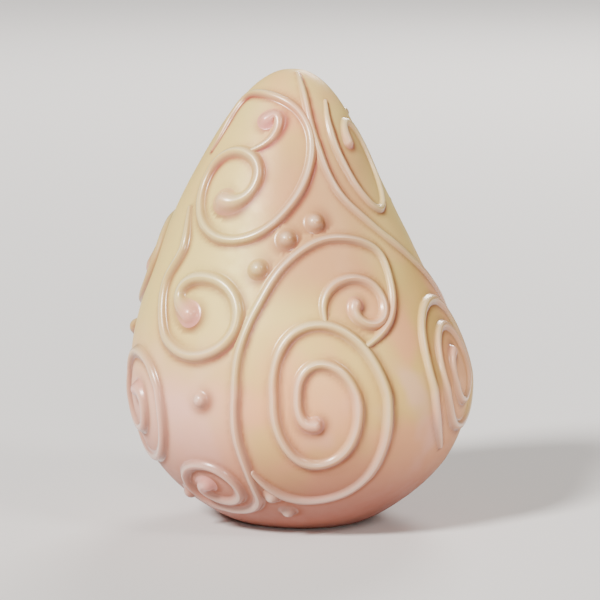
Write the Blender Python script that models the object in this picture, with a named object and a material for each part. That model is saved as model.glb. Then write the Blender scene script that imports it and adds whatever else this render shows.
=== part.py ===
"""A large strawberry dipped whole in white chocolate and piped with scrolls and beads.

It stands tip up on the flat of its hulled end. The coat hides the fruit, so coat, fruit and
piping are one solid. Metres, +Z up. The origin is the middle of the flat that it rests on.
-Y is the front, and azimuths run from there towards +X.
"""

import math
from bisect import bisect_right

import bmesh
import bpy
from mathutils import Vector

MM = 0.001

# Dipped berry, in millimetres. A run is the way up the flank from the rim of the base.
HEIGHT = 66.5
BASE_RADIUS = 8.0
DEPTH_SHARE = 0.95
FLANK_CONTROLS = (
    (BASE_RADIUS, 0.0),
    (10.5, 0.0),
    (21.5, 7.2),
    (26.7, 20.1),
    (21.7, 33.9),
    (14.7, 49.4),
    (7.6, 62.6),
    (2.6, HEIGHT),
    (0.0, HEIGHT),
)
LEAN = -2.0
LEAN_START = 22.0
LEAN_SKEW = 1.08
TIP_OFFSET = -1.1
# Faint unevenness of its outline, as (waves round it, share of the radius, azimuth of a crest)
LOBES = ((2, 0.012, 40.0), (3, 0.010, -70.0), (5, 0.005, 15.0))

# Piped lines, in millimetres
LINE_HALF_WIDTH = 0.68
LINE_HEIGHT = 0.62
LINE_DEPTH = 0.4
BULB_REACH = 2.2
TAPER_REACH = 5.0
TAPER_END = 0.55
END_SHARE = 0.6
CURL_FADE = 35
BEAD_RADIUS = 1.2
BEAD_SINK = 0.15

# Fineness of the faceted solid. An arch angle is a corner of a line's rounded top.
COLUMNS = 38
RINGS = 22
RING_CROWDING = 0.35
FINEST_STEP = 1.3
COARSEST_STEP = 3.0
STEP_SHARE = 0.4
SMALLEST_BEND = 1e-6
SAMPLES_PER_SPAN = 24
ARCH_ANGLES = (18, 62, 118, 162)
WHORL_STEP = 20
BEAD_COLUMNS = 8
BEAD_RINGS = 6
SHARP_ANGLE = 35

# How far apart the places are that give the coat's direction: degrees, and millimetres
AZIMUTH_NUDGE = 0.5
RUN_NUDGE = 0.1

COAT_COLOUR = (0.78, 0.66, 0.53, 1.0)
COAT_ROUGHNESS = 0.36
COAT_METALLIC = 0.15


def spline(controls, per_span=SAMPLES_PER_SPAN):
    """Points of a uniform cubic B-spline that starts and ends on its end controls."""
    controls = [Vector(c) for c in controls]
    first = 2 * controls[0] - controls[1]
    last = 2 * controls[-1] - controls[-2]
    controls = [first, *controls, last]
    points = []
    for a, b, c, d in zip(controls, controls[1:], controls[2:], controls[3:]):
        for step in range(per_span):
            t = step / per_span
            points.append(
                (1 - t) ** 3 / 6 * a
                + (3 * t**3 - 6 * t**2 + 4) / 6 * b
                + (-3 * t**3 + 3 * t**2 + 3 * t + 1) / 6 * c
                + t**3 / 6 * d
            )
    points.append(controls[-2].copy())
    return points


def runs_along(points):
    """Length along the points up to each of them."""
    runs = [0.0]
    for before, after in zip(points, points[1:]):
        runs.append(runs[-1] + (after - before).length)
    return runs


FLANK = spline(FLANK_CONTROLS)
FLANK_RUNS = runs_along(FLANK)
TIP_RUN = FLANK_RUNS[-1]


def flank(run):
    """(radius, height) of the berry at a run up its flank."""
    run = min(max(run, 0.0), TIP_RUN)
    i = min(bisect_right(FLANK_RUNS, run), len(FLANK) - 1)
    share = (run - FLANK_RUNS[i - 1]) / (FLANK_RUNS[i] - FLANK_RUNS[i - 1])
    return FLANK[i - 1].lerp(FLANK[i], share)


def lean(height):
    """Sideways shift of the berry's middle, as its left flank is the fuller one."""
    share = max(0.0, (height - LEAN_START) / (HEIGHT - LEAN_START))
    return LEAN * math.sin(math.pi * share**LEAN_SKEW) + TIP_OFFSET * share**3


def skin(azimuth, run):
    """The point of the coat at an azimuth in degrees and a run up the flank."""
    radius, height = flank(run)
    turn = math.radians(azimuth)
    for count, amount, at in LOBES:
        radius *= 1 + amount * math.cos(count * math.radians(azimuth - at))
    across = lean(height) + radius * math.sin(turn)
    return Vector((across, -DEPTH_SHARE * radius * math.cos(turn), height))


def outward(azimuth, run):
    """The coat's outward direction there."""
    run = min(run, TIP_RUN - 2 * RUN_NUDGE)
    round_it = skin(azimuth + AZIMUTH_NUDGE, run) - skin(azimuth - AZIMUTH_NUDGE, run)
    up_it = skin(azimuth, run + RUN_NUDGE) - skin(azimuth, run - RUN_NUDGE)
    return round_it.cross(up_it).normalized()


def whorl(azimuth, run, start, sweep, inner, outer, tall=1.0, growth=1.0, curl=0.5):
    """A spiral from its bulb outwards, as (azimuth, run) controls.

    It starts at an angle seen from outside, 0 to the right and 90 up, and turns through
    sweep degrees while it widens from inner to outer. tall stretches it up the flank, a
    growth over 1 leaves most of the widening to its end, and curl draws the bulb inwards.
    """
    steps = math.ceil(abs(sweep) / WHORL_STEP)
    controls = []
    for step in range(steps + 1):
        share = step / steps
        angle = math.radians(start + sweep * share)
        reach = inner + (outer - inner) * share**growth
        reach *= 1 - curl * math.exp(-abs(sweep) * share / CURL_FADE)
        at_run = run + tall * reach * math.sin(angle)
        at_azimuth = azimuth + math.degrees(reach * math.cos(angle) / flank(at_run)[0])
        controls.append((at_azimuth, at_run))
    return controls


# Each line is its controls, its size share at its start and end, and the swell of a bulb at
# each. An end without a bulb thins out.
LINES = (
    # Front, from the tip down: scroll and its comma, then the scroll on the right
    (
        whorl(-32, 61.5, -109, 579, 2.8, 13.9, tall=1.1, growth=1.8, curl=0)
        + [(-66, 70), (-68, 66)],
        (1.1, 0.8),
        (0.9, 0),
    ),
    (
        [(-21, 71.4), (-10, 72.6), (-7.5, 69.9), (-15, 67.6), (-30, 66.2)],
        (1.0, 0.9),
        (0.5, 0),
    ),
    (
        whorl(60, 65.2, 140, -385, 1.6, 4.5, tall=2.25, growth=0.6, curl=0),
        (0.8, 0.8),
        (0.4, 0),
    ),
    # Widest scroll at the back, whose line climbs round the right flank to the tip
    (
        whorl(135, 40.5, 210, -720, 3.0, 13.0, tall=0.95)
        + [(99, 38.5), (88, 42.5), (77, 46.3), (64, 50), (48, 54.6), (31, 59.5)]
        + [(24, 66), (19, 73), (16, 80.5)],
        (1.1, 0.75),
        (0.5, 0),
    ),
    # Front: open scroll on the left, with its tail up the flank
    (
        whorl(-39, 41.3, 173, -324, 7.6, 7.0, tall=0.85, curl=0.87)
        + [(-63, 46.5), (-50, 50.5), (-61, 57)],
        (1.25, 1.0),
        (0.6, 0),
    ),
    # Front: low scroll that rises into the arch, whose end joins the largest scroll
    (
        whorl(-38, 14.5, 150, 570, 2.6, 7.0, tall=0.9)
        + [(-23, 25), (-22, 31.5), (-20, 38), (-8, 46.8), (4, 51.2), (19, 53.6)]
        + [(32, 53.2), (48, 51.2), (46, 46), (41, 41.6), (32.5, 38.7), (23, 36.8)],
        (1.1, 0.8),
        (0.5, 0),
    ),
    # Front: small scroll under the arch, and the largest scroll, which it joins
    (
        whorl(29.5, 42.7, -202, 397, 2.2, 6.8, growth=2.3, curl=0.25),
        (0.95, 1.0),
        (0.4, 0),
    ),
    (
        whorl(7.4, 28.7, 236, -740, 3.9, 12.25, tall=1.45, growth=1.65),
        (1.0, 1.05),
        (0.4, 0),
    ),
    # Right flank and lower left
    (whorl(69, 32, 113, 850, 2.2, 9.4, tall=1.32, curl=0), (0.9, 1.0), (0.4, 0)),
    (whorl(-72, 27.5, 60, -600, 3.2, 11.0, growth=1.2), (1.1, 1.0), (0.5, 0)),
    # Back: the two scrolls that one line joins
    (
        whorl(179, 59.5, 250, -625, 3.2, 8.6)
        + [(196, 50), (183, 44.5), (167, 38), (161, 30)]
        + whorl(189, 24.5, 50, -610, 3.0, 11.2)[-2::-1],
        (1.1, 1.1),
        (0.5, 0.5),
    ),
    # Back: scroll with a hook over it and low scroll. Left flank: scroll with a hook.
    (
        whorl(229, 43.5, -60, 400, 3.0, 6.8) + [(238, 53.5), (232, 58), (226, 63)],
        (1.2, 1.0),
        (0.6, 0),
    ),
    (whorl(236, 23, 120, 480, 2.8, 8.2, tall=1.05), (1.1, 0.95), (0.5, 0)),
    (
        whorl(-103, 46.5, -20, 470, 3.0, 7.6) + [(-122, 56), (-119, 62), (-108, 66)],
        (1.2, 1.0),
        (0.6, 0),
    ),
    # Curl near the tip at the back and a tail low on the right
    (whorl(140, 67.5, 30, 420, 2.4, 5.0), (1.0, 0.9), (0.4, 0)),
    ([(112, 13.5), (123, 17), (134, 19), (146, 18.5), (155, 16)], (1.0, 0.9), (0, 0)),
)

# Beads as (azimuth, run, size share)
BEADS = (
    *((15.0, 55.7, 1.0), (0.7, 53.2, 1.0), (-12.4, 48.7, 0.95), (-35.0, 29.2, 0.85)),
    *((-12, 13.5, 0.9), (-6, 9.5, 0.85), (-60, 12, 0.9)),
    *((110, 56.3, 1.0), (121, 58.3, 1.0), (132, 58.8, 0.9), (113, 67, 0.9), (112, 71.5, 0.8)),
    *((104, 23.5, 1.0), (114, 21.8, 1.0), (124, 24, 0.9)),
    *((206, 41.5, 1.0), (202, 36.5, 0.95), (213, 32, 0.9)),
    *((263, 36.5, 1.0), (252, 38.5, 1.0), (243, 35, 0.85)),
    *((168, 75, 0.9), (198, 74.5, 1.0), (226, 75.5, 0.9), (233, 71.3, 1.0), (218, 67, 0.9)),
)


def object_of(bm, name, collection):
    """A mesh object made from the bmesh, with its faces pointing out."""
    bmesh.ops.recalc_face_normals(bm, faces=bm.faces)
    mesh = bpy.data.meshes.new(name)
    bm.to_mesh(mesh)
    bm.free()
    obj = bpy.data.objects.new(name, mesh)
    collection.objects.link(obj)
    return obj


def join_rings(bm, rings):
    """Quads between each ring of vertices and the next."""
    for lower, upper in zip(rings, rings[1:]):
        for i in range(len(lower)):
            j = (i + 1) % len(lower)
            bm.faces.new((lower[i], lower[j], upper[j], upper[i]))


def berry(collection):
    """The dipped berry without its piping."""
    bm = bmesh.new()
    rings = []
    for ring in range(RINGS):
        share = ring / RINGS
        run = TIP_RUN * (share - RING_CROWDING * math.sin(math.tau * share) / math.tau)
        azimuths = (360 * column / COLUMNS for column in range(COLUMNS))
        rings.append([bm.verts.new(skin(azimuth, run) * MM) for azimuth in azimuths])
    join_rings(bm, rings)
    bm.faces.new(rings[0])
    tip = bm.verts.new(skin(0, TIP_RUN) * MM)
    for column in range(COLUMNS):
        bm.faces.new((rings[-1][column], rings[-1][(column + 1) % COLUMNS], tip))
    return object_of(bm, "coated_strawberry", collection)


def stations(controls):
    """(azimuth, run) places along a line, closer together where it bends tightly."""
    route = spline(controls)
    points = [skin(*place) for place in route]
    runs = runs_along(points)
    places = [route[0]]
    done = 0.0
    for i in range(1, len(route) - 1):
        bend = (points[i + 1] - points[i]).angle(points[i] - points[i - 1], 0.0)
        radius = (runs[i + 1] - runs[i - 1]) / 2 / max(bend, SMALLEST_BEND)
        if runs[i] - done >= min(max(STEP_SHARE * radius, FINEST_STEP), COARSEST_STEP):
            places.append(route[i])
            done = runs[i]
    if runs[-1] - done < FINEST_STEP / 2:
        places.pop()
    places.append(route[-1])
    return places


def end_size(distance, bulb):
    """Share of the line's size at a distance from an end that has a bulb or thins out."""
    if bulb:
        return 1 + bulb * math.exp(-((distance / BULB_REACH) ** 2))
    return min(1.0, TAPER_END + (1 - TAPER_END) * distance / TAPER_REACH)


def size_at(run, length, sizes, bulbs):
    """Size share of a line at a run along it."""
    share = sizes[0] + (sizes[1] - sizes[0]) * run / length
    return share * end_size(run, bulbs[0]) * end_size(length - run, bulbs[1])


def line_section():
    """(across, up) outline of a piped line: a half round whose feet lie under the coat."""
    arch = []
    for angle in ARCH_ANGLES:
        turn = math.radians(angle)
        arch.append((LINE_HALF_WIDTH * math.cos(turn), LINE_HEIGHT * math.sin(turn)))
    return [(LINE_HALF_WIDTH, -LINE_DEPTH), *arch, (-LINE_HALF_WIDTH, -LINE_DEPTH)]


def line_sections(runs, sizes, bulbs):
    """(place, size, shift along the line) of its cross-sections, with one more past each end."""
    shares = [size_at(run, runs[-1], sizes, bulbs) for run in runs]
    first = END_SHARE * shares[0]
    last = END_SHARE * shares[-1]
    return [
        (0, first, -first * LINE_HALF_WIDTH),
        *((place, share, 0.0) for place, share in enumerate(shares)),
        (len(shares) - 1, last, last * LINE_HALF_WIDTH),
    ]


def piped_line(controls, sizes, bulbs, name, collection):
    """One line of piping, rounded off at both ends."""
    places = stations(controls)
    points = [skin(*place) for place in places]
    bm = bmesh.new()
    rings = []
    for i, share, shift in line_sections(runs_along(points), sizes, bulbs):
        along = (points[min(i + 1, len(points) - 1)] - points[max(i - 1, 0)]).normalized()
        across = along.cross(outward(*places[i])).normalized()
        up = across.cross(along)
        middle = points[i] + shift * along
        spots = (middle + share * (w * across + h * up) for w, h in line_section())
        rings.append([bm.verts.new(spot * MM) for spot in spots])
    join_rings(bm, rings)
    bm.faces.new(rings[0])
    bm.faces.new(rings[-1])
    return object_of(bm, name, collection)


def bead(azimuth, run, size, name, collection):
    """A piped bead, sunk a little into the coat."""
    bm = bmesh.new()
    bmesh.ops.create_uvsphere(
        bm,
        u_segments=BEAD_COLUMNS,
        v_segments=BEAD_RINGS,
        radius=size * BEAD_RADIUS * MM,
    )
    up = outward(azimuth, run)
    turned = up.to_track_quat("Z", "Y").to_matrix()
    bmesh.ops.rotate(bm, verts=bm.verts, matrix=turned)
    middle = (skin(azimuth, run) - BEAD_SINK * up) * MM
    bmesh.ops.translate(bm, verts=bm.verts, vec=middle)
    return object_of(bm, name, collection)


def fuse(obj, collection):
    """Joins a collection's meshes to an object, and removes them."""
    union = obj.modifiers.new("piping", "BOOLEAN")
    union.operation = "UNION"
    union.operand_type = "COLLECTION"
    union.collection = collection
    union.solver = "EXACT"
    graph = bpy.context.evaluated_depsgraph_get()
    fused = bpy.data.meshes.new_from_object(obj.evaluated_get(graph))
    obj.modifiers.remove(union)
    obj.data = fused
    for piece in list(collection.objects):
        bpy.data.objects.remove(piece)
    bpy.data.collections.remove(collection)


def coat_material():
    """Pearly white chocolate."""
    material = bpy.data.materials.new("pearl_white_chocolate")
    material.use_nodes = True
    shader = material.node_tree.nodes["Principled BSDF"]
    shader.inputs["Base Color"].default_value = COAT_COLOUR
    shader.inputs["Roughness"].default_value = COAT_ROUGHNESS
    shader.inputs["Metallic"].default_value = COAT_METALLIC
    return material


def main():
    for obj in list(bpy.data.objects):
        bpy.data.objects.remove(obj)
    scene = bpy.context.scene
    piping = bpy.data.collections.new("piping")
    scene.collection.children.link(piping)
    strawberry = berry(scene.collection)
    for number, line in enumerate(LINES):
        piped_line(*line, f"line_{number}", piping)
    for number, (azimuth, run, size) in enumerate(BEADS):
        bead(azimuth, run, size, f"bead_{number}", piping)
    fuse(strawberry, piping)
    strawberry.data.materials.clear()
    strawberry.data.materials.append(coat_material())
    strawberry.data.shade_smooth()
    strawberry.data.set_sharp_from_angle(angle=math.radians(SHARP_ANGLE))


main()
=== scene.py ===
"""Looks of the strawberry dipped in white chocolate: a smooth coat, its piped scrolls and beads.

The solid's shape is repeated here from the same values, in millimetres, at a finer grain, and
the piping gets rounded tops and feet that run out into the coat. Then come the pearly finish,
with painted shade in the creases, in a band up the middle and low down, and a painted highlight
on the piping's upper left, a pale floor, soft lights and the camera.
"""

import math
from bisect import bisect_right

import bpy
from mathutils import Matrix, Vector, kdtree, noise
from mathutils.bvhtree import BVHTree

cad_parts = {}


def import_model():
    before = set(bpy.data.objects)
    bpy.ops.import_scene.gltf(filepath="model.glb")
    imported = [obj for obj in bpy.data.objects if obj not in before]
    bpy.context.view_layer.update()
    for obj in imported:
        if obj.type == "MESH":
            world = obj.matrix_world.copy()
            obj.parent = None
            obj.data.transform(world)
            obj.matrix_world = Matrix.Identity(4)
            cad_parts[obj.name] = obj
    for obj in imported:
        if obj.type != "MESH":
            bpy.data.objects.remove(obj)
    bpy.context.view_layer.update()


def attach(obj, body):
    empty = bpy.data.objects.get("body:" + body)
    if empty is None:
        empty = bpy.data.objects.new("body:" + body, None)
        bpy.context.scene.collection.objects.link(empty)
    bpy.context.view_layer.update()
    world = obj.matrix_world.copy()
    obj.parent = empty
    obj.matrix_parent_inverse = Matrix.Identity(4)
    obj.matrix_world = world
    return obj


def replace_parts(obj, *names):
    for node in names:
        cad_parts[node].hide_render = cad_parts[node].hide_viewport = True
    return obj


MM = 0.001
BODY = "root"
NODE = "coated_strawberry"

# Dipped berry, in millimetres. A run is the way up the flank from the rim of the base.
HEIGHT = 66.5
BASE_RADIUS = 8.0
DEPTH_SHARE = 0.95
FLANK_CONTROLS = (
    (BASE_RADIUS, 0.0),
    (10.5, 0.0),
    (21.5, 7.2),
    (26.7, 20.1),
    (21.7, 33.9),
    (14.7, 49.4),
    (7.6, 62.6),
    (2.6, HEIGHT),
    (0.0, HEIGHT),
)
LEAN = -2.0
LEAN_START = 22.0
LEAN_SKEW = 1.08
TIP_OFFSET = -1.1
# Faint unevenness of its outline, as (waves round it, share of the radius, azimuth of a crest)
LOBES = ((2, 0.012, 40.0), (3, 0.010, -70.0), (5, 0.005, 15.0))
# Soft swells where the coat ran and set, as (height, length), which fade out at the base
SWELLS = ((0.10, 11.0), (0.035, 4.0))
SWELL_FADE = 4.0

# Piped lines and beads, in millimetres, degrees and shares of their size
LINE_HALF_WIDTH = 0.68
LINE_HEIGHT = 0.62
BULB_REACH = 2.2
TAPER_REACH = 5.0
TAPER_END = 0.55
CURL_FADE = 35
BEAD_RADIUS = 1.2
# The foot runs out into the coat, where its edge lies just under the surface
FOOT_ANGLE = 28
FOOT_WIDTH = 1.0
FOOT_EDGE = 1.2
FOOT_SINK = 0.03
# A hand's unevenness: share of the size, sideways wander, and their lengths
SIZE_UNEVEN = 0.07
SIZE_WAVE = 3.2
WANDER = 0.10
WANDER_WAVE = 5.0
WANDER_LAYER = 9.0
# How suddenly a reach is held short of the centre that a line bends round
BEND_POWER = 4

# Fineness of the meshes
COAT_COLUMNS = 330
COAT_RINGS = 176
SAMPLES_PER_SPAN = 24
WHORL_STEP = 20
LINE_STEP = 0.36
FOOT_STEPS = 4
ARCH_STEPS = 5
END_TURNS = 14
# Small steps in degrees and millimetres, which give the coat's outward direction
AZIMUTH_NUDGE = 0.5
RUN_NUDGE = 0.1


def spline(controls, per_span=SAMPLES_PER_SPAN):
    """Points of a uniform cubic B-spline that starts and ends on its end controls."""
    controls = [Vector(c) for c in controls]
    first = 2 * controls[0] - controls[1]
    last = 2 * controls[-1] - controls[-2]
    controls = [first, *controls, last]
    points = []
    for a, b, c, d in zip(controls, controls[1:], controls[2:], controls[3:]):
        for step in range(per_span):
            t = step / per_span
            points.append(
                (1 - t) ** 3 / 6 * a
                + (3 * t**3 - 6 * t**2 + 4) / 6 * b
                + (-3 * t**3 + 3 * t**2 + 3 * t + 1) / 6 * c
                + t**3 / 6 * d
            )
    points.append(controls[-2].copy())
    return points


def runs_along(points):
    """Length along the points up to each of them."""
    runs = [0.0]
    for before, after in zip(points, points[1:]):
        runs.append(runs[-1] + (after - before).length)
    return runs


FLANK = spline(FLANK_CONTROLS)
FLANK_RUNS = runs_along(FLANK)
TIP_RUN = FLANK_RUNS[-1]


def flank(run):
    """(radius, height) of the berry at a run up its flank."""
    run = min(max(run, 0.0), TIP_RUN)
    i = min(bisect_right(FLANK_RUNS, run), len(FLANK) - 1)
    share = (run - FLANK_RUNS[i - 1]) / (FLANK_RUNS[i] - FLANK_RUNS[i - 1])
    return FLANK[i - 1].lerp(FLANK[i], share)


def lean(height):
    """Sideways shift of the berry's middle, as its left flank is the fuller one."""
    share = max(0.0, (height - LEAN_START) / (HEIGHT - LEAN_START))
    return LEAN * math.sin(math.pi * share**LEAN_SKEW) + TIP_OFFSET * share**3


def skin(azimuth, run):
    """The point of the coat at an azimuth in degrees and a run up the flank."""
    radius, height = flank(run)
    turn = math.radians(azimuth)
    for count, amount, at in LOBES:
        radius *= 1 + amount * math.cos(count * math.radians(azimuth - at))
    across = lean(height) + radius * math.sin(turn)
    return Vector((across, -DEPTH_SHARE * radius * math.cos(turn), height))


def outward(azimuth, run):
    """The coat's outward direction there."""
    run = min(run, TIP_RUN - 2 * RUN_NUDGE)
    round_it = skin(azimuth + AZIMUTH_NUDGE, run) - skin(azimuth - AZIMUTH_NUDGE, run)
    up_it = skin(azimuth, run + RUN_NUDGE) - skin(azimuth, run - RUN_NUDGE)
    return round_it.cross(up_it).normalized()


def whorl(azimuth, run, start, sweep, inner, outer, tall=1.0, growth=1.0, curl=0.5):
    """A spiral from its bulb outwards, as (azimuth, run) controls.

    It starts at an angle seen from outside, 0 to the right and 90 up, and turns through
    sweep degrees while it widens from inner to outer. tall stretches it up the flank, a
    growth over 1 leaves most of the widening to its end, and curl draws the bulb inwards.
    """
    steps = math.ceil(abs(sweep) / WHORL_STEP)
    controls = []
    for step in range(steps + 1):
        share = step / steps
        angle = math.radians(start + sweep * share)
        reach = inner + (outer - inner) * share**growth
        reach *= 1 - curl * math.exp(-abs(sweep) * share / CURL_FADE)
        at_run = run + tall * reach * math.sin(angle)
        at_azimuth = azimuth + math.degrees(reach * math.cos(angle) / flank(at_run)[0])
        controls.append((at_azimuth, at_run))
    return controls


# Each line is its controls, its size share at its start and end, and the swell of a bulb at
# each. An end without a bulb thins out.
LINES = (
    # Front, from the tip down: scroll and its comma, then the scroll on the right
    (
        whorl(-32, 61.5, -109, 579, 2.8, 13.9, tall=1.1, growth=1.8, curl=0)
        + [(-66, 70), (-68, 66)],
        (1.1, 0.8),
        (0.9, 0),
    ),
    (
        [(-21, 71.4), (-10, 72.6), (-7.5, 69.9), (-15, 67.6), (-30, 66.2)],
        (1.0, 0.9),
        (0.5, 0),
    ),
    (
        whorl(60, 65.2, 140, -385, 1.6, 4.5, tall=2.25, growth=0.6, curl=0),
        (0.8, 0.8),
        (0.4, 0),
    ),
    # Widest scroll at the back, whose line climbs round the right flank to the tip
    (
        whorl(135, 40.5, 210, -720, 3.0, 13.0, tall=0.95)
        + [(99, 38.5), (88, 42.5), (77, 46.3), (64, 50), (48, 54.6), (31, 59.5)]
        + [(24, 66), (19, 73), (16, 80.5)],
        (1.1, 0.75),
        (0.5, 0),
    ),
    # Front: open scroll on the left, with its tail up the flank
    (
        whorl(-39, 41.3, 173, -324, 7.6, 7.0, tall=0.85, curl=0.87)
        + [(-63, 46.5), (-50, 50.5), (-61, 57)],
        (1.25, 1.0),
        (0.6, 0),
    ),
    # Front: low scroll that rises into the arch, whose end joins the largest scroll
    (
        whorl(-38, 14.5, 150, 570, 2.6, 7.0, tall=0.9)
        + [(-23, 25), (-22, 31.5), (-20, 38), (-8, 46.8), (4, 51.2), (19, 53.6)]
        + [(32, 53.2), (48, 51.2), (46, 46), (41, 41.6), (32.5, 38.7), (23, 36.8)],
        (1.1, 0.8),
        (0.5, 0),
    ),
    # Front: small scroll under the arch, and the largest scroll, which it joins
    (
        whorl(29.5, 42.7, -202, 397, 2.2, 6.8, growth=2.3, curl=0.25),
        (0.95, 1.0),
        (0.4, 0),
    ),
    (
        whorl(7.4, 28.7, 236, -740, 3.9, 12.25, tall=1.45, growth=1.65),
        (1.0, 1.05),
        (0.4, 0),
    ),
    # Right flank and lower left
    (whorl(69, 32, 113, 850, 2.2, 9.4, tall=1.32, curl=0), (0.9, 1.0), (0.4, 0)),
    (whorl(-72, 27.5, 60, -600, 3.2, 11.0, growth=1.2), (1.1, 1.0), (0.5, 0)),
    # Back: the two scrolls that one line joins
    (
        whorl(179, 59.5, 250, -625, 3.2, 8.6)
        + [(196, 50), (183, 44.5), (167, 38), (161, 30)]
        + whorl(189, 24.5, 50, -610, 3.0, 11.2)[-2::-1],
        (1.1, 1.1),
        (0.5, 0.5),
    ),
    # Back: scroll with a hook over it and low scroll. Left flank: scroll with a hook.
    (
        whorl(229, 43.5, -60, 400, 3.0, 6.8) + [(238, 53.5), (232, 58), (226, 63)],
        (1.2, 1.0),
        (0.6, 0),
    ),
    (whorl(236, 23, 120, 480, 2.8, 8.2, tall=1.05), (1.1, 0.95), (0.5, 0)),
    (
        whorl(-103, 46.5, -20, 470, 3.0, 7.6) + [(-122, 56), (-119, 62), (-108, 66)],
        (1.2, 1.0),
        (0.6, 0),
    ),
    # Curl near the tip at the back and a tail low on the right
    (whorl(140, 67.5, 30, 420, 2.4, 5.0), (1.0, 0.9), (0.4, 0)),
    ([(112, 13.5), (123, 17), (134, 19), (146, 18.5), (155, 16)], (1.0, 0.9), (0, 0)),
)

# How deep the pink of each line's bulbs is
BLUSHES = (0.4, 1.0, 0.4, 0.6, 0.9, 0.5, 0.4, 0.2, 0.4, 0.6, 0.8, 0.6, 0.4, 0.8, 0.6, 0.0)

# Beads as (azimuth, run, size share)
BEADS = (
    *((15.0, 55.7, 1.0), (0.7, 53.2, 1.0), (-12.4, 48.7, 0.95), (-35.0, 29.2, 0.85)),
    *((-12, 13.5, 0.9), (-6, 9.5, 0.85), (-60, 12, 0.9)),
    *((110, 56.3, 1.0), (121, 58.3, 1.0), (132, 58.8, 0.9), (113, 67, 0.9), (112, 71.5, 0.8)),
    *((104, 23.5, 1.0), (114, 21.8, 1.0), (124, 24, 0.9)),
    *((206, 41.5, 1.0), (202, 36.5, 0.95), (213, 32, 0.9)),
    *((263, 36.5, 1.0), (252, 38.5, 1.0), (243, 35, 0.85)),
    *((168, 75, 0.9), (198, 74.5, 1.0), (226, 75.5, 0.9), (233, 71.3, 1.0), (218, 67, 0.9)),
)

# Painted shade in the crease beside a line: where it starts and how far it fades, in
# millimetres from the middle of a line of size 1, and how slowly it fades up the line's side
CREASE_SHADE_START = 1.0
CREASE_SHADE_REACH = 0.5
CREASE_SHADE_POWER = 0.4
# How far a bulb's blush reaches along its line, in millimetres
BLUSH_REACH = 1.9
# How uneven the two sides of a line are, as if lit from up the flank and to the left: the
# pale pearl tint, pearl dust with a painted highlight, lies on that side of its top, and the
# painted crease shade on the side away from that
PAINTED_LIGHT_BIAS = 0.9
# How many stations of the lines are looked at for the one nearest to a place of the coat
NEAR_STATIONS = 8

# Camera, with its place in degrees and metres
CAMERA_LENS = 200.0
CAMERA_ELEVATION = 8.5
CAMERA_DISTANCE = 0.49
CAMERA_TARGET = (0.0, 0.0, 0.0325)
CAMERA_NEAREST = 0.01

# Lights: where they come from, in metres, their colours, and the sun's width in degrees
SUN_FROM = (-0.56, -0.62, 0.68)
SUN_WIDTH = 12
SUN_STRENGTH = 5.8
SUN_COLOUR = (1.0, 0.98, 0.95)
# Lamps, as (name, place, size, power)
LAMPS = (
    ("front lamp", (0.13, -0.92, 0.28), 0.12, 2.4),
    ("right lamp", (0.72, -0.58, 0.75), 0.30, 4.4),
    ("back lamp", (0.25, 0.92, 0.65), 0.40, 9.0),
)
LAMP_COLOUR = (1.0, 0.97, 0.93)
SKY_COLOUR = (1.0, 0.95, 0.92)
SKY_STRENGTH = 0.10
FLOOR_REACH = 6.0
FLOOR_COLOUR = (0.78, 0.76, 0.75)
FLOOR_ROUGHNESS = 0.8

# Colours of the finish, linear
CREAM = (0.80, 0.51, 0.15, 1.0)
PINK_CREAM = (0.89, 0.43, 0.19, 1.0)
LILAC = (0.95, 0.53, 0.43, 1.0)
YELLOW_CREAM = (0.87, 0.67, 0.21, 1.0)
# Painted shade: a darker tan towards the bottom
LOW_TAN_SHADE = (0.36, 0.13, 0.09, 1.0)
# Painted shade: a darker rosy beige, for a band up the middle
ROSY_BEIGE_SHADE = (0.66, 0.34, 0.15, 1.0)
# Pale pearl: pearl dust, with a painted highlight where it leans to the lit side
PEARL_AND_HIGHLIGHT = (1.0, 0.87, 0.72, 1.0)
# Painted shade in the creases beside the piping: tan, and rose near the tip
CREASE_SHADE_TAN = (0.27, 0.075, 0.035, 1.0)
CREASE_SHADE_ROSE = (0.35, 0.06, 0.045, 1.0)
BULB_PINK = (0.90, 0.34, 0.30, 1.0)
# How finely any noise is broken up
NOISE_DETAIL = 2.0
# Patches of a colour, as (scale, noise where they start, noise where they're full, most)
PINK_PATCHES = (75, 0.40, 0.58, 1.0)
LILAC_PATCHES = (95, 0.56, 0.72, 0.5)
YELLOW_PATCHES = (48, 0.40, 0.58, 0.8)
# Patches in how deep the painted crease shade goes
CREASE_SHADE_PATCHES = (130, 0.40, 0.62, 1.0)
# The faintest that the painted crease shade gets
CREASE_SHADE_LEAST = 0.85
# Where a colour sets in, in metres across or up, as (start, full, most)
LILAC_LEFT = (-0.004, -0.018, 1.0)
LILAC_LOW = (0.034, 0.018, 0.7)
YELLOW_HIGH = (0.020, 0.036, 1.0)
YELLOW_LEFT = (-0.001, -0.009, 0.8)
# Where the painted crease shade turns rose, near the tip
ROSE_SHADE_HIGH = (0.045, 0.058, 1.0)
# Where the painted tan shade sets in low down
TAN_SHADE_LOW = (0.022, 0.003, 1.0)
# A band of painted shade up the middle, in a darker rosy beige: its left and right sides, its foot
# and its top
SHADE_BAND_LEFT = (-0.010, -0.002, 0.8)
SHADE_BAND_RIGHT = (0.014, 0.006, 1.0)
SHADE_BAND_FOOT = (0.032, 0.040, 1.0)
SHADE_BAND_TOP = (0.062, 0.052, 1.0)
# The deepest that the pearl tint, pearl dust with a painted highlight, and a bulb's blush go
DUST_AND_HIGHLIGHT_MOST = 0.35
BLUSH_MOST = 0.7

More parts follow.
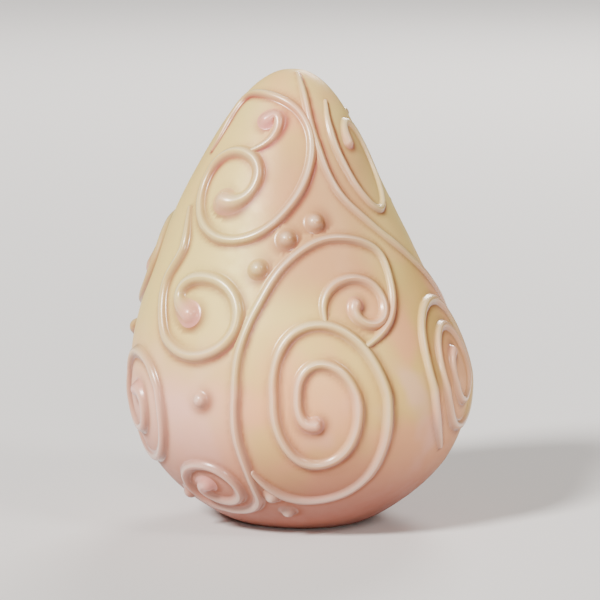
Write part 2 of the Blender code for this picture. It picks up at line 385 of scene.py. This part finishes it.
# Finish of the dipped coat and of the piping, as (gloss, least roughness, most roughness)
COAT_FINISH = (0.05, 0.42, 0.54)
PIPED_FINISH = (1.0, 0.36, 0.48)
GLOSS_ROUGHNESS = 0.25
SPECULAR = 0.3
METALLIC = 0.05
ROUGHNESS_SCALE = 420
ROUGHNESS_NOISE = (0.3, 0.7)
GRAIN_SCALE = 1500
GRAIN_STRENGTH = 0.12
GRAIN_DEPTH = 0.0001
# How light spreads inside the chocolate: share, reach for red, green and blue, and scale
GLOW_SHARE = 0.05
GLOW_RADIUS = (1.0, 0.5, 0.35)
GLOW_SCALE = 0.0006


class Shape:
    """A mesh in the making: places in millimetres, faces, and three tints for each place: its
    painted crease shade, its blush, and its pearl dust with a painted highlight.
    """

    def __init__(self):
        self.places = []
        self.faces = []
        self.crease_shades = []
        self.blushes = []
        self.dusts_and_highlights = []

    def add(self, place, crease_shade=0.0, blush=0.0, dust=0.0):
        """A new place, as its number."""
        self.places.append(place)
        self.crease_shades.append(crease_shade)
        self.blushes.append(blush)
        self.dusts_and_highlights.append(dust)
        return len(self.places) - 1

    def bridge(self, lower, upper, closed=False):
        """Quads between two rows of places, or triangles where they share a place."""
        for i in range(len(lower) if closed else len(lower) - 1):
            j = (i + 1) % len(lower)
            corners = (lower[i], lower[j], upper[j], upper[i])
            self.faces.append(tuple(dict.fromkeys(corners)))

    def build(self, name, material):
        """The finished object, in metres, on the frame's body."""
        mesh = bpy.data.meshes.new(name)
        mesh.from_pydata([place * MM for place in self.places], [], self.faces)
        tints = {"crease_shade": self.crease_shades, "blush": self.blushes, "dust": self.dusts_and_highlights}
        for tint, values in tints.items():
            mesh.attributes.new(tint, "FLOAT", "POINT").data.foreach_set("value", values)
        mesh.shade_smooth()
        mesh.materials.append(material)
        obj = bpy.data.objects.new(name, mesh)
        bpy.context.scene.collection.objects.link(obj)
        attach(obj, BODY)
        return obj


def swollen(azimuth, run):
    """The coat's point with the soft swells of chocolate that ran and set."""
    place = skin(azimuth, run)
    rise = sum(height * noise.noise(place / length) for height, length in SWELLS)
    return place + min(1.0, place.z / SWELL_FADE) * rise * outward(azimuth, run)


def crease_shade_at(distance):
    """Depth of the painted crease shade at a distance from the nearest line's middle."""
    return math.exp(-((max(0.0, distance - CREASE_SHADE_START) / CREASE_SHADE_REACH) ** 2))


def away_from_light_share(way, toward_painted_light):
    """Share of a painted tint on the side that lies that way from a line, more the further that
    side is from the painted light.
    """
    return (1 - PAINTED_LIGHT_BIAS * way.dot(toward_painted_light)) / (1 + PAINTED_LIGHT_BIAS)


def coat_shape():
    """The smooth coat, with no tints yet, such as its painted crease shade."""
    shape = Shape()
    rows = []
    for ring in range(COAT_RINGS):
        run = TIP_RUN * ring / COAT_RINGS
        azimuths = (360 * column / COAT_COLUMNS for column in range(COAT_COLUMNS))
        rows.append([shape.add(swollen(azimuth, run)) for azimuth in azimuths])
    for lower, upper in zip(rows, rows[1:]):
        shape.bridge(lower, upper, closed=True)
    tip = shape.add(swollen(0, TIP_RUN))
    shape.bridge(rows[-1], [tip] * COAT_COLUMNS, closed=True)
    base_middle = shape.add(Vector((0.0, 0.0, 0.0)))
    shape.bridge([base_middle] * COAT_COLUMNS, rows[0], closed=True)
    return shape


def paint_crease_shade(coat, laid):
    """Paints shade on the coat in the creases beside the lines and beads, deeper on their side
    away from the painted light, by the stations laid along them.
    """
    tree = kdtree.KDTree(len(laid))
    for number, station in enumerate(laid):
        tree.insert(station.middle, number)
    tree.balance()
    for number, place in enumerate(coat.places):
        near = [(laid[i], distance) for _, i, distance in tree.find_n(place, NEAR_STATIONS)]
        station, distance = min(near, key=lambda pair: pair[1] / pair[0].size)
        way = (place - station.middle).normalized()
        crease_shade = crease_shade_at(distance / station.size)
        coat.crease_shades[number] = crease_shade * away_from_light_share(way, station.toward_painted_light)


def side_outline():
    """(out, up) points of a line's side, from the edge of its foot to its top."""
    lift = math.radians(FOOT_ANGLE)
    side = Vector((LINE_HALF_WIDTH * math.cos(lift), LINE_HEIGHT * math.sin(lift)))
    knee = Vector((LINE_HALF_WIDTH / math.cos(lift), 0.0))
    toe = Vector((FOOT_WIDTH, 0.0))
    outline = [Vector((FOOT_EDGE, -FOOT_SINK))]
    for step in range(FOOT_STEPS):
        t = step / FOOT_STEPS
        outline.append((1 - t) ** 2 * toe + 2 * t * (1 - t) * knee + t**2 * side)
    for step in range(ARCH_STEPS + 1):
        turn = lift + (math.pi / 2 - lift) * step / ARCH_STEPS
        outline.append(
            Vector((LINE_HALF_WIDTH * math.cos(turn), LINE_HEIGHT * math.sin(turn)))
        )
    return outline


SIDE = side_outline()


def inner_reach(reach, bend):
    """A reach to one side, held short of the centre that the line bends round."""
    if reach * bend <= 0:
        return reach
    return reach / (1 + (reach * bend) ** BEND_POWER) ** (1 / BEND_POWER)


def end_size(distance, bulb):
    """Share of the line's size at a distance from an end that has a bulb or thins out."""
    if bulb:
        return 1 + bulb * math.exp(-((distance / BULB_REACH) ** 2))
    return min(1.0, TAPER_END + (1 - TAPER_END) * distance / TAPER_REACH)


def size_at(run, length, sizes, bulbs):
    """Size share of a line at a run along it."""
    share = sizes[0] + (sizes[1] - sizes[0]) * run / length
    return share * end_size(run, bulbs[0]) * end_size(length - run, bulbs[1])


def blush_at(run, length, bulbs, blush):
    """Depth of a bulb's blush at a run along the line."""
    depths = [
        bool(bulb) * math.exp(-((distance / BLUSH_REACH) ** 2))
        for distance, bulb in zip((run, length - run), bulbs)
    ]
    return blush * max(depths)


def evenly(places, step):
    """Some of the places, about a step apart along the coat, with both ends."""
    runs = runs_along([skin(*place) for place in places])
    kept = [places[0]]
    done = 0.0
    for place, run in zip(places, runs):
        if run - done >= step:
            kept.append(place)
            done = run
    kept[-1] = places[-1]
    return kept


class Station:
    """One place along a line: its middle, directions, size, bend and blush."""

    def __init__(self, middle, across, up, size, bend=0.0, blush=0.0):
        self.middle = middle
        self.across = across
        self.up = up
        self.size = size
        self.bend = bend
        self.blush = blush
        rightward = Vector((0.0, 0.0, 1.0)).cross(up).normalized()
        # The side that the painted light comes from, where the pearl tint's painted highlight
        # goes: up the flank and to the left
        self.toward_painted_light = (up.cross(rightward) - rightward).normalized()


class Piping:
    """Lines and beads laid on the coat, as two shapes, and the stations laid along them."""

    def __init__(self, coat):
        self.coat = BVHTree.FromPolygons(coat.places, coat.faces)
        self.lines = Shape()
        self.beads = Shape()
        self.laid = []

    def on_coat(self, place):
        """The coat's nearest point to a place."""
        return self.coat.find_nearest(place)[0]

    def spot(self, shape, station, way, out, rise):
        """Adds the place that lies out from a station's middle, one way, off the coat."""
        place = self.on_coat(station.middle + out * way) + rise * station.up
        height_share = max(0.0, rise) / (LINE_HEIGHT * station.size)
        # Painted shade in the crease up the line's side away from the painted light, and pearl
        # dust with a painted highlight towards the top on its lit side
        crease_shade = min(crease_shade_at(out / station.size), max(0.0, 1 - height_share) ** CREASE_SHADE_POWER)
        crease_shade *= away_from_light_share(way, station.toward_painted_light)
        dust = height_share * away_from_light_share(-way, station.toward_painted_light)
        return shape.add(place, crease_shade, station.blush, dust)

    def fan(self, shape, station, ways, top):
        """Rows from the foot up to the top, one each way round a station's middle."""
        rows = []
        for way in ways:
            row = [
                self.spot(shape, station, way, station.size * out, station.size * rise)
                for out, rise in SIDE[:-1]
            ]
            rows.append([*row, top])
        return rows

    def rounded_end(self, station, across, onward, ring):
        """Closes a line's end: its side's outline swept round from across to the far side."""
        top = ring[len(SIDE) - 1]
        angles = (math.pi * turn / END_TURNS for turn in range(1, END_TURNS))
        ways = [math.cos(angle) * across + math.sin(angle) * onward for angle in angles]
        near_side = ring[: len(SIDE)]
        far_side = ring[: len(SIDE) - 2 : -1]
        rows = [near_side, *self.fan(self.lines, station, ways, top), far_side]
        for row, following in zip(rows, rows[1:]):
            self.lines.bridge(following, row)

    def ring(self, station):
        """A line's cross-section at a station, from its left foot over the top to its right."""
        numbers = []
        for side, outline in ((-1, SIDE), (1, SIDE[-2::-1])):
            for out, rise in outline:
                reach = abs(inner_reach(side * station.size * out, station.bend))
                way = side * station.across
                numbers.append(self.spot(self.lines, station, way, reach, station.size * rise))
        return numbers

    def stations(self, controls, sizes, bulbs, blush, number):
        """The stations of a line, with a hand's unevenness in them."""
        places = evenly(spline(controls), LINE_STEP)
        points = [self.on_coat(skin(*place)) for place in places]
        runs = runs_along(points)
        made = []
        for i, place in enumerate(places):
            before = points[max(i - 1, 0)]
            after = points[min(i + 1, len(points) - 1)]
            along = (after - before).normalized()
            across = along.cross(outward(*place)).normalized()
            up = across.cross(along)
            turned = (after - points[i]).normalized() - (points[i] - before).normalized()
            bend = 2 * turned.dot(across) / (after - before).length
            share = size_at(runs[i], runs[-1], sizes, bulbs)
            share *= 1 + SIZE_UNEVEN * noise.noise(Vector((runs[i] / SIZE_WAVE, number, 0.0)))
            place_in_noise = Vector((runs[i] / WANDER_WAVE, number, WANDER_LAYER))
            wander = WANDER * noise.noise(place_in_noise)
            depth = blush_at(runs[i], runs[-1], bulbs, blush)
            middle = points[i] + wander * across
            made.append(Station(middle, across, up, share, bend, depth))
        return made

    def add_line(self, controls, sizes, bulbs, blush, number):
        """One line, rounded off at both ends."""
        stations = self.stations(controls, sizes, bulbs, blush, number)
        rings = [self.ring(station) for station in stations]
        for ring, following in zip(rings, rings[1:]):
            self.lines.bridge(ring, following)
        first, last = stations[0], stations[-1]
        self.rounded_end(first, -first.across, -first.up.cross(first.across), rings[0])
        self.rounded_end(last, last.across, last.up.cross(last.across), rings[-1][::-1])
        self.laid += stations

    def add_bead(self, azimuth, run, share):
        """One bead, with a foot like a line's."""
        up = outward(azimuth, run)
        across = Vector((0.0, 0.0, 1.0)).cross(up).normalized()
        middle = self.on_coat(skin(azimuth, run))
        size = share * BEAD_RADIUS / LINE_HALF_WIDTH
        station = Station(middle, across, up, size)
        # A bead's top gets the whole pearl tint: pearl dust and a painted highlight
        top = self.beads.add(middle + size * LINE_HEIGHT * up, dust=1.0)
        onward = up.cross(across)
        angles = (math.tau * turn / (2 * END_TURNS) for turn in range(2 * END_TURNS))
        ways = [math.cos(angle) * across + math.sin(angle) * onward for angle in angles]
        rows = self.fan(self.beads, station, ways, top)
        for row, following in zip(rows, [*rows[1:], rows[0]]):
            self.beads.bridge(following, row)
        self.laid.append(station)


def feed(tree, sockets, values):
    """Gives each socket a value or another node's output."""
    for socket, value in zip(sockets, values):
        if isinstance(value, bpy.types.NodeSocket):
            tree.links.new(value, socket)
        else:
            socket.default_value = value


def add_node(tree, kind, inputs, **settings):
    """A new node with those settings, and a value or another node's output at each input."""
    made = tree.nodes.new(kind)
    for name, value in settings.items():
        setattr(made, name, value)
    feed(tree, [made.inputs[name] for name in inputs], inputs.values())
    return made


def clouds(tree, place, scale):
    """Soft noise of that scale."""
    inputs = {"Vector": place, "Scale": scale, "Detail": NOISE_DETAIL}
    return add_node(tree, "ShaderNodeTexNoise", inputs).outputs["Fac"]


def ramp(tree, value, start, full, most, least=0.0):
    """A smooth change from least to most as the value goes from its start to full."""
    inputs = {"Value": value, "From Min": start, "From Max": full, "To Min": least, "To Max": most}
    node = add_node(tree, "ShaderNodeMapRange", inputs, interpolation_type="SMOOTHSTEP")
    return node.outputs["Result"]


def patches(tree, place, scale, start, full, most, least=0.0):
    """Soft patches from least to most."""
    return ramp(tree, clouds(tree, place, scale), start, full, most, least)


def product(tree, a, b):
    """One value times another."""
    node = tree.nodes.new("ShaderNodeMath")
    node.operation = "MULTIPLY"
    feed(tree, node.inputs, (a, b))
    return node.outputs[0]


def tinted(tree, colour, tint, amount):
    """A colour moved towards a tint by an amount."""
    node = tree.nodes.new("ShaderNodeMix")
    node.data_type = "RGBA"
    feed(tree, (node.inputs[0], node.inputs[6], node.inputs[7]), (amount, colour, tint))
    return node.outputs[2]


def stored(tree, name):
    """The tint of that name that the mesh stores."""
    return add_node(tree, "ShaderNodeAttribute", {}, attribute_name=name).outputs["Fac"]


def chocolate_colour(tree, place):
    """Cream with patches of other shades, a rosy band of painted shade up the middle, painted tan
    shade low down, and the piping's tints: painted crease shade, pearl dust with a painted
    highlight, and the bulbs' blush.
    """
    across, _, height = add_node(tree, "ShaderNodeSeparateXYZ", {"Vector": place}).outputs
    high = ramp(tree, height, *YELLOW_HIGH)
    upper_left = product(tree, ramp(tree, across, *YELLOW_LEFT), high)
    lower_left = product(tree, ramp(tree, across, *LILAC_LEFT), ramp(tree, height, *LILAC_LOW))
    shade_band = ramp(tree, across, *SHADE_BAND_LEFT)
    for value, edge in ((across, SHADE_BAND_RIGHT), (height, SHADE_BAND_FOOT), (height, SHADE_BAND_TOP)):
        shade_band = product(tree, shade_band, ramp(tree, value, *edge))
    crease_shade_depth = patches(tree, place, *CREASE_SHADE_PATCHES, least=CREASE_SHADE_LEAST)
    crease_shade = tinted(tree, CREASE_SHADE_TAN, CREASE_SHADE_ROSE, ramp(tree, height, *ROSE_SHADE_HIGH))
    colour = CREAM
    for tint, amount in (
        (PINK_CREAM, patches(tree, place, *PINK_PATCHES)),
        (LILAC, lower_left),
        (LILAC, patches(tree, place, *LILAC_PATCHES)),
        (YELLOW_CREAM, product(tree, high, patches(tree, place, *YELLOW_PATCHES))),
        (YELLOW_CREAM, upper_left),
        (ROSY_BEIGE_SHADE, shade_band),
        (LOW_TAN_SHADE, ramp(tree, height, *TAN_SHADE_LOW)),
        (PEARL_AND_HIGHLIGHT, product(tree, stored(tree, "dust"), DUST_AND_HIGHLIGHT_MOST)),
        (crease_shade, product(tree, stored(tree, "crease_shade"), crease_shade_depth)),
        (BULB_PINK, product(tree, stored(tree, "blush"), BLUSH_MOST)),
    ):
        colour = tinted(tree, colour, tint, amount)
    return colour


def pearl_white_chocolate(name, gloss, least_rough, most_rough):
    """Satin white chocolate brushed with pearl dust, with painted shade and a painted highlight in
    its colour.
    """
    material = bpy.data.materials.new(name)
    material.use_nodes = True
    tree = material.node_tree
    place = tree.nodes.new("ShaderNodeTexCoord").outputs["Object"]
    roughness = clouds(tree, place, ROUGHNESS_SCALE)
    grain = {
        "Height": clouds(tree, place, GRAIN_SCALE),
        "Strength": GRAIN_STRENGTH,
        "Distance": GRAIN_DEPTH,
    }
    finish = {
        "Base Color": chocolate_colour(tree, place),
        "Roughness": ramp(tree, roughness, *ROUGHNESS_NOISE, most_rough, least_rough),
        "Normal": add_node(tree, "ShaderNodeBump", grain).outputs["Normal"],
        "Metallic": METALLIC,
        "Specular IOR Level": SPECULAR,
        "Coat Weight": gloss,
        "Coat Roughness": GLOSS_ROUGHNESS,
        "Subsurface Weight": GLOW_SHARE,
        "Subsurface Radius": GLOW_RADIUS,
        "Subsurface Scale": GLOW_SCALE,
    }
    shader = tree.nodes["Principled BSDF"]
    feed(tree, [shader.inputs[socket] for socket in finish], finish.values())
    return material


def floor():
    """A wide pale floor."""
    mesh = bpy.data.meshes.new("floor")
    signs = ((-1, -1), (1, -1), (1, 1), (-1, 1))
    corners = [(FLOOR_REACH * x, FLOOR_REACH * y, 0.0) for x, y in signs]
    mesh.from_pydata(corners, [], [(0, 1, 2, 3)])
    obj = bpy.data.objects.new("floor", mesh)
    bpy.context.scene.collection.objects.link(obj)
    material = bpy.data.materials.new("pale_floor")
    material.use_nodes = True
    shader = material.node_tree.nodes["Principled BSDF"]
    shader.inputs["Base Color"].default_value = (*FLOOR_COLOUR, 1.0)
    shader.inputs["Roughness"].default_value = FLOOR_ROUGHNESS
    mesh.materials.append(material)


def aimed(obj, target):
    """Turns a light or camera to face a point."""
    towards = Vector(target) - obj.location
    obj.rotation_euler = towards.to_track_quat("-Z", "Y").to_euler()


def lamp(kind, name, place, power, colour):
    """A lamp of that kind that faces the berry's middle."""
    light = bpy.data.lights.new(name, kind)
    light.energy = power
    light.color = colour
    obj = bpy.data.objects.new(name, light)
    obj.location = place
    bpy.context.scene.collection.objects.link(obj)
    aimed(obj, CAMERA_TARGET)
    return light


def lights():
    """Hazy sun from the upper left, lamps in front, on the right and behind, and a pale sky."""
    sun = lamp("SUN", "sun", SUN_FROM, SUN_STRENGTH, SUN_COLOUR)
    sun.angle = math.radians(SUN_WIDTH)
    for name, place, size, power in LAMPS:
        lamp("AREA", name, place, power, LAMP_COLOUR).size = size
    world = bpy.data.worlds.new("pale_sky")
    world.use_nodes = True
    background = world.node_tree.nodes["Background"]
    background.inputs["Color"].default_value = (*SKY_COLOUR, 1.0)
    background.inputs["Strength"].default_value = SKY_STRENGTH
    bpy.context.scene.world = world


def camera():
    """The view from a little above the berry's middle, half a metre away."""
    lens = bpy.data.cameras.new("camera")
    lens.lens = CAMERA_LENS
    lens.clip_start = CAMERA_NEAREST
    obj = bpy.data.objects.new("camera", lens)
    bpy.context.scene.collection.objects.link(obj)
    lift = math.radians(CAMERA_ELEVATION)
    away = Vector((0.0, -math.cos(lift), math.sin(lift)))
    target = Vector(CAMERA_TARGET)
    obj.location = target + CAMERA_DISTANCE * away
    aimed(obj, target)
    bpy.context.scene.camera = obj


def main():
    """Loads the frame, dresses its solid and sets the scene."""
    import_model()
    coat = coat_shape()
    piping = Piping(coat)
    for number, (line, blush) in enumerate(zip(LINES, BLUSHES)):
        piping.add_line(*line, blush, number)
    for bead in BEADS:
        piping.add_bead(*bead)
    paint_crease_shade(coat, piping.laid)
    dipped = pearl_white_chocolate("dipped_chocolate", *COAT_FINISH)
    piped = pearl_white_chocolate("piped_chocolate", *PIPED_FINISH)
    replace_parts(coat.build("coat", dipped), NODE)
    piping.lines.build("piped_lines", piped)
    piping.beads.build("piped_beads", piped)
    floor()
    lights()
    camera()


main()
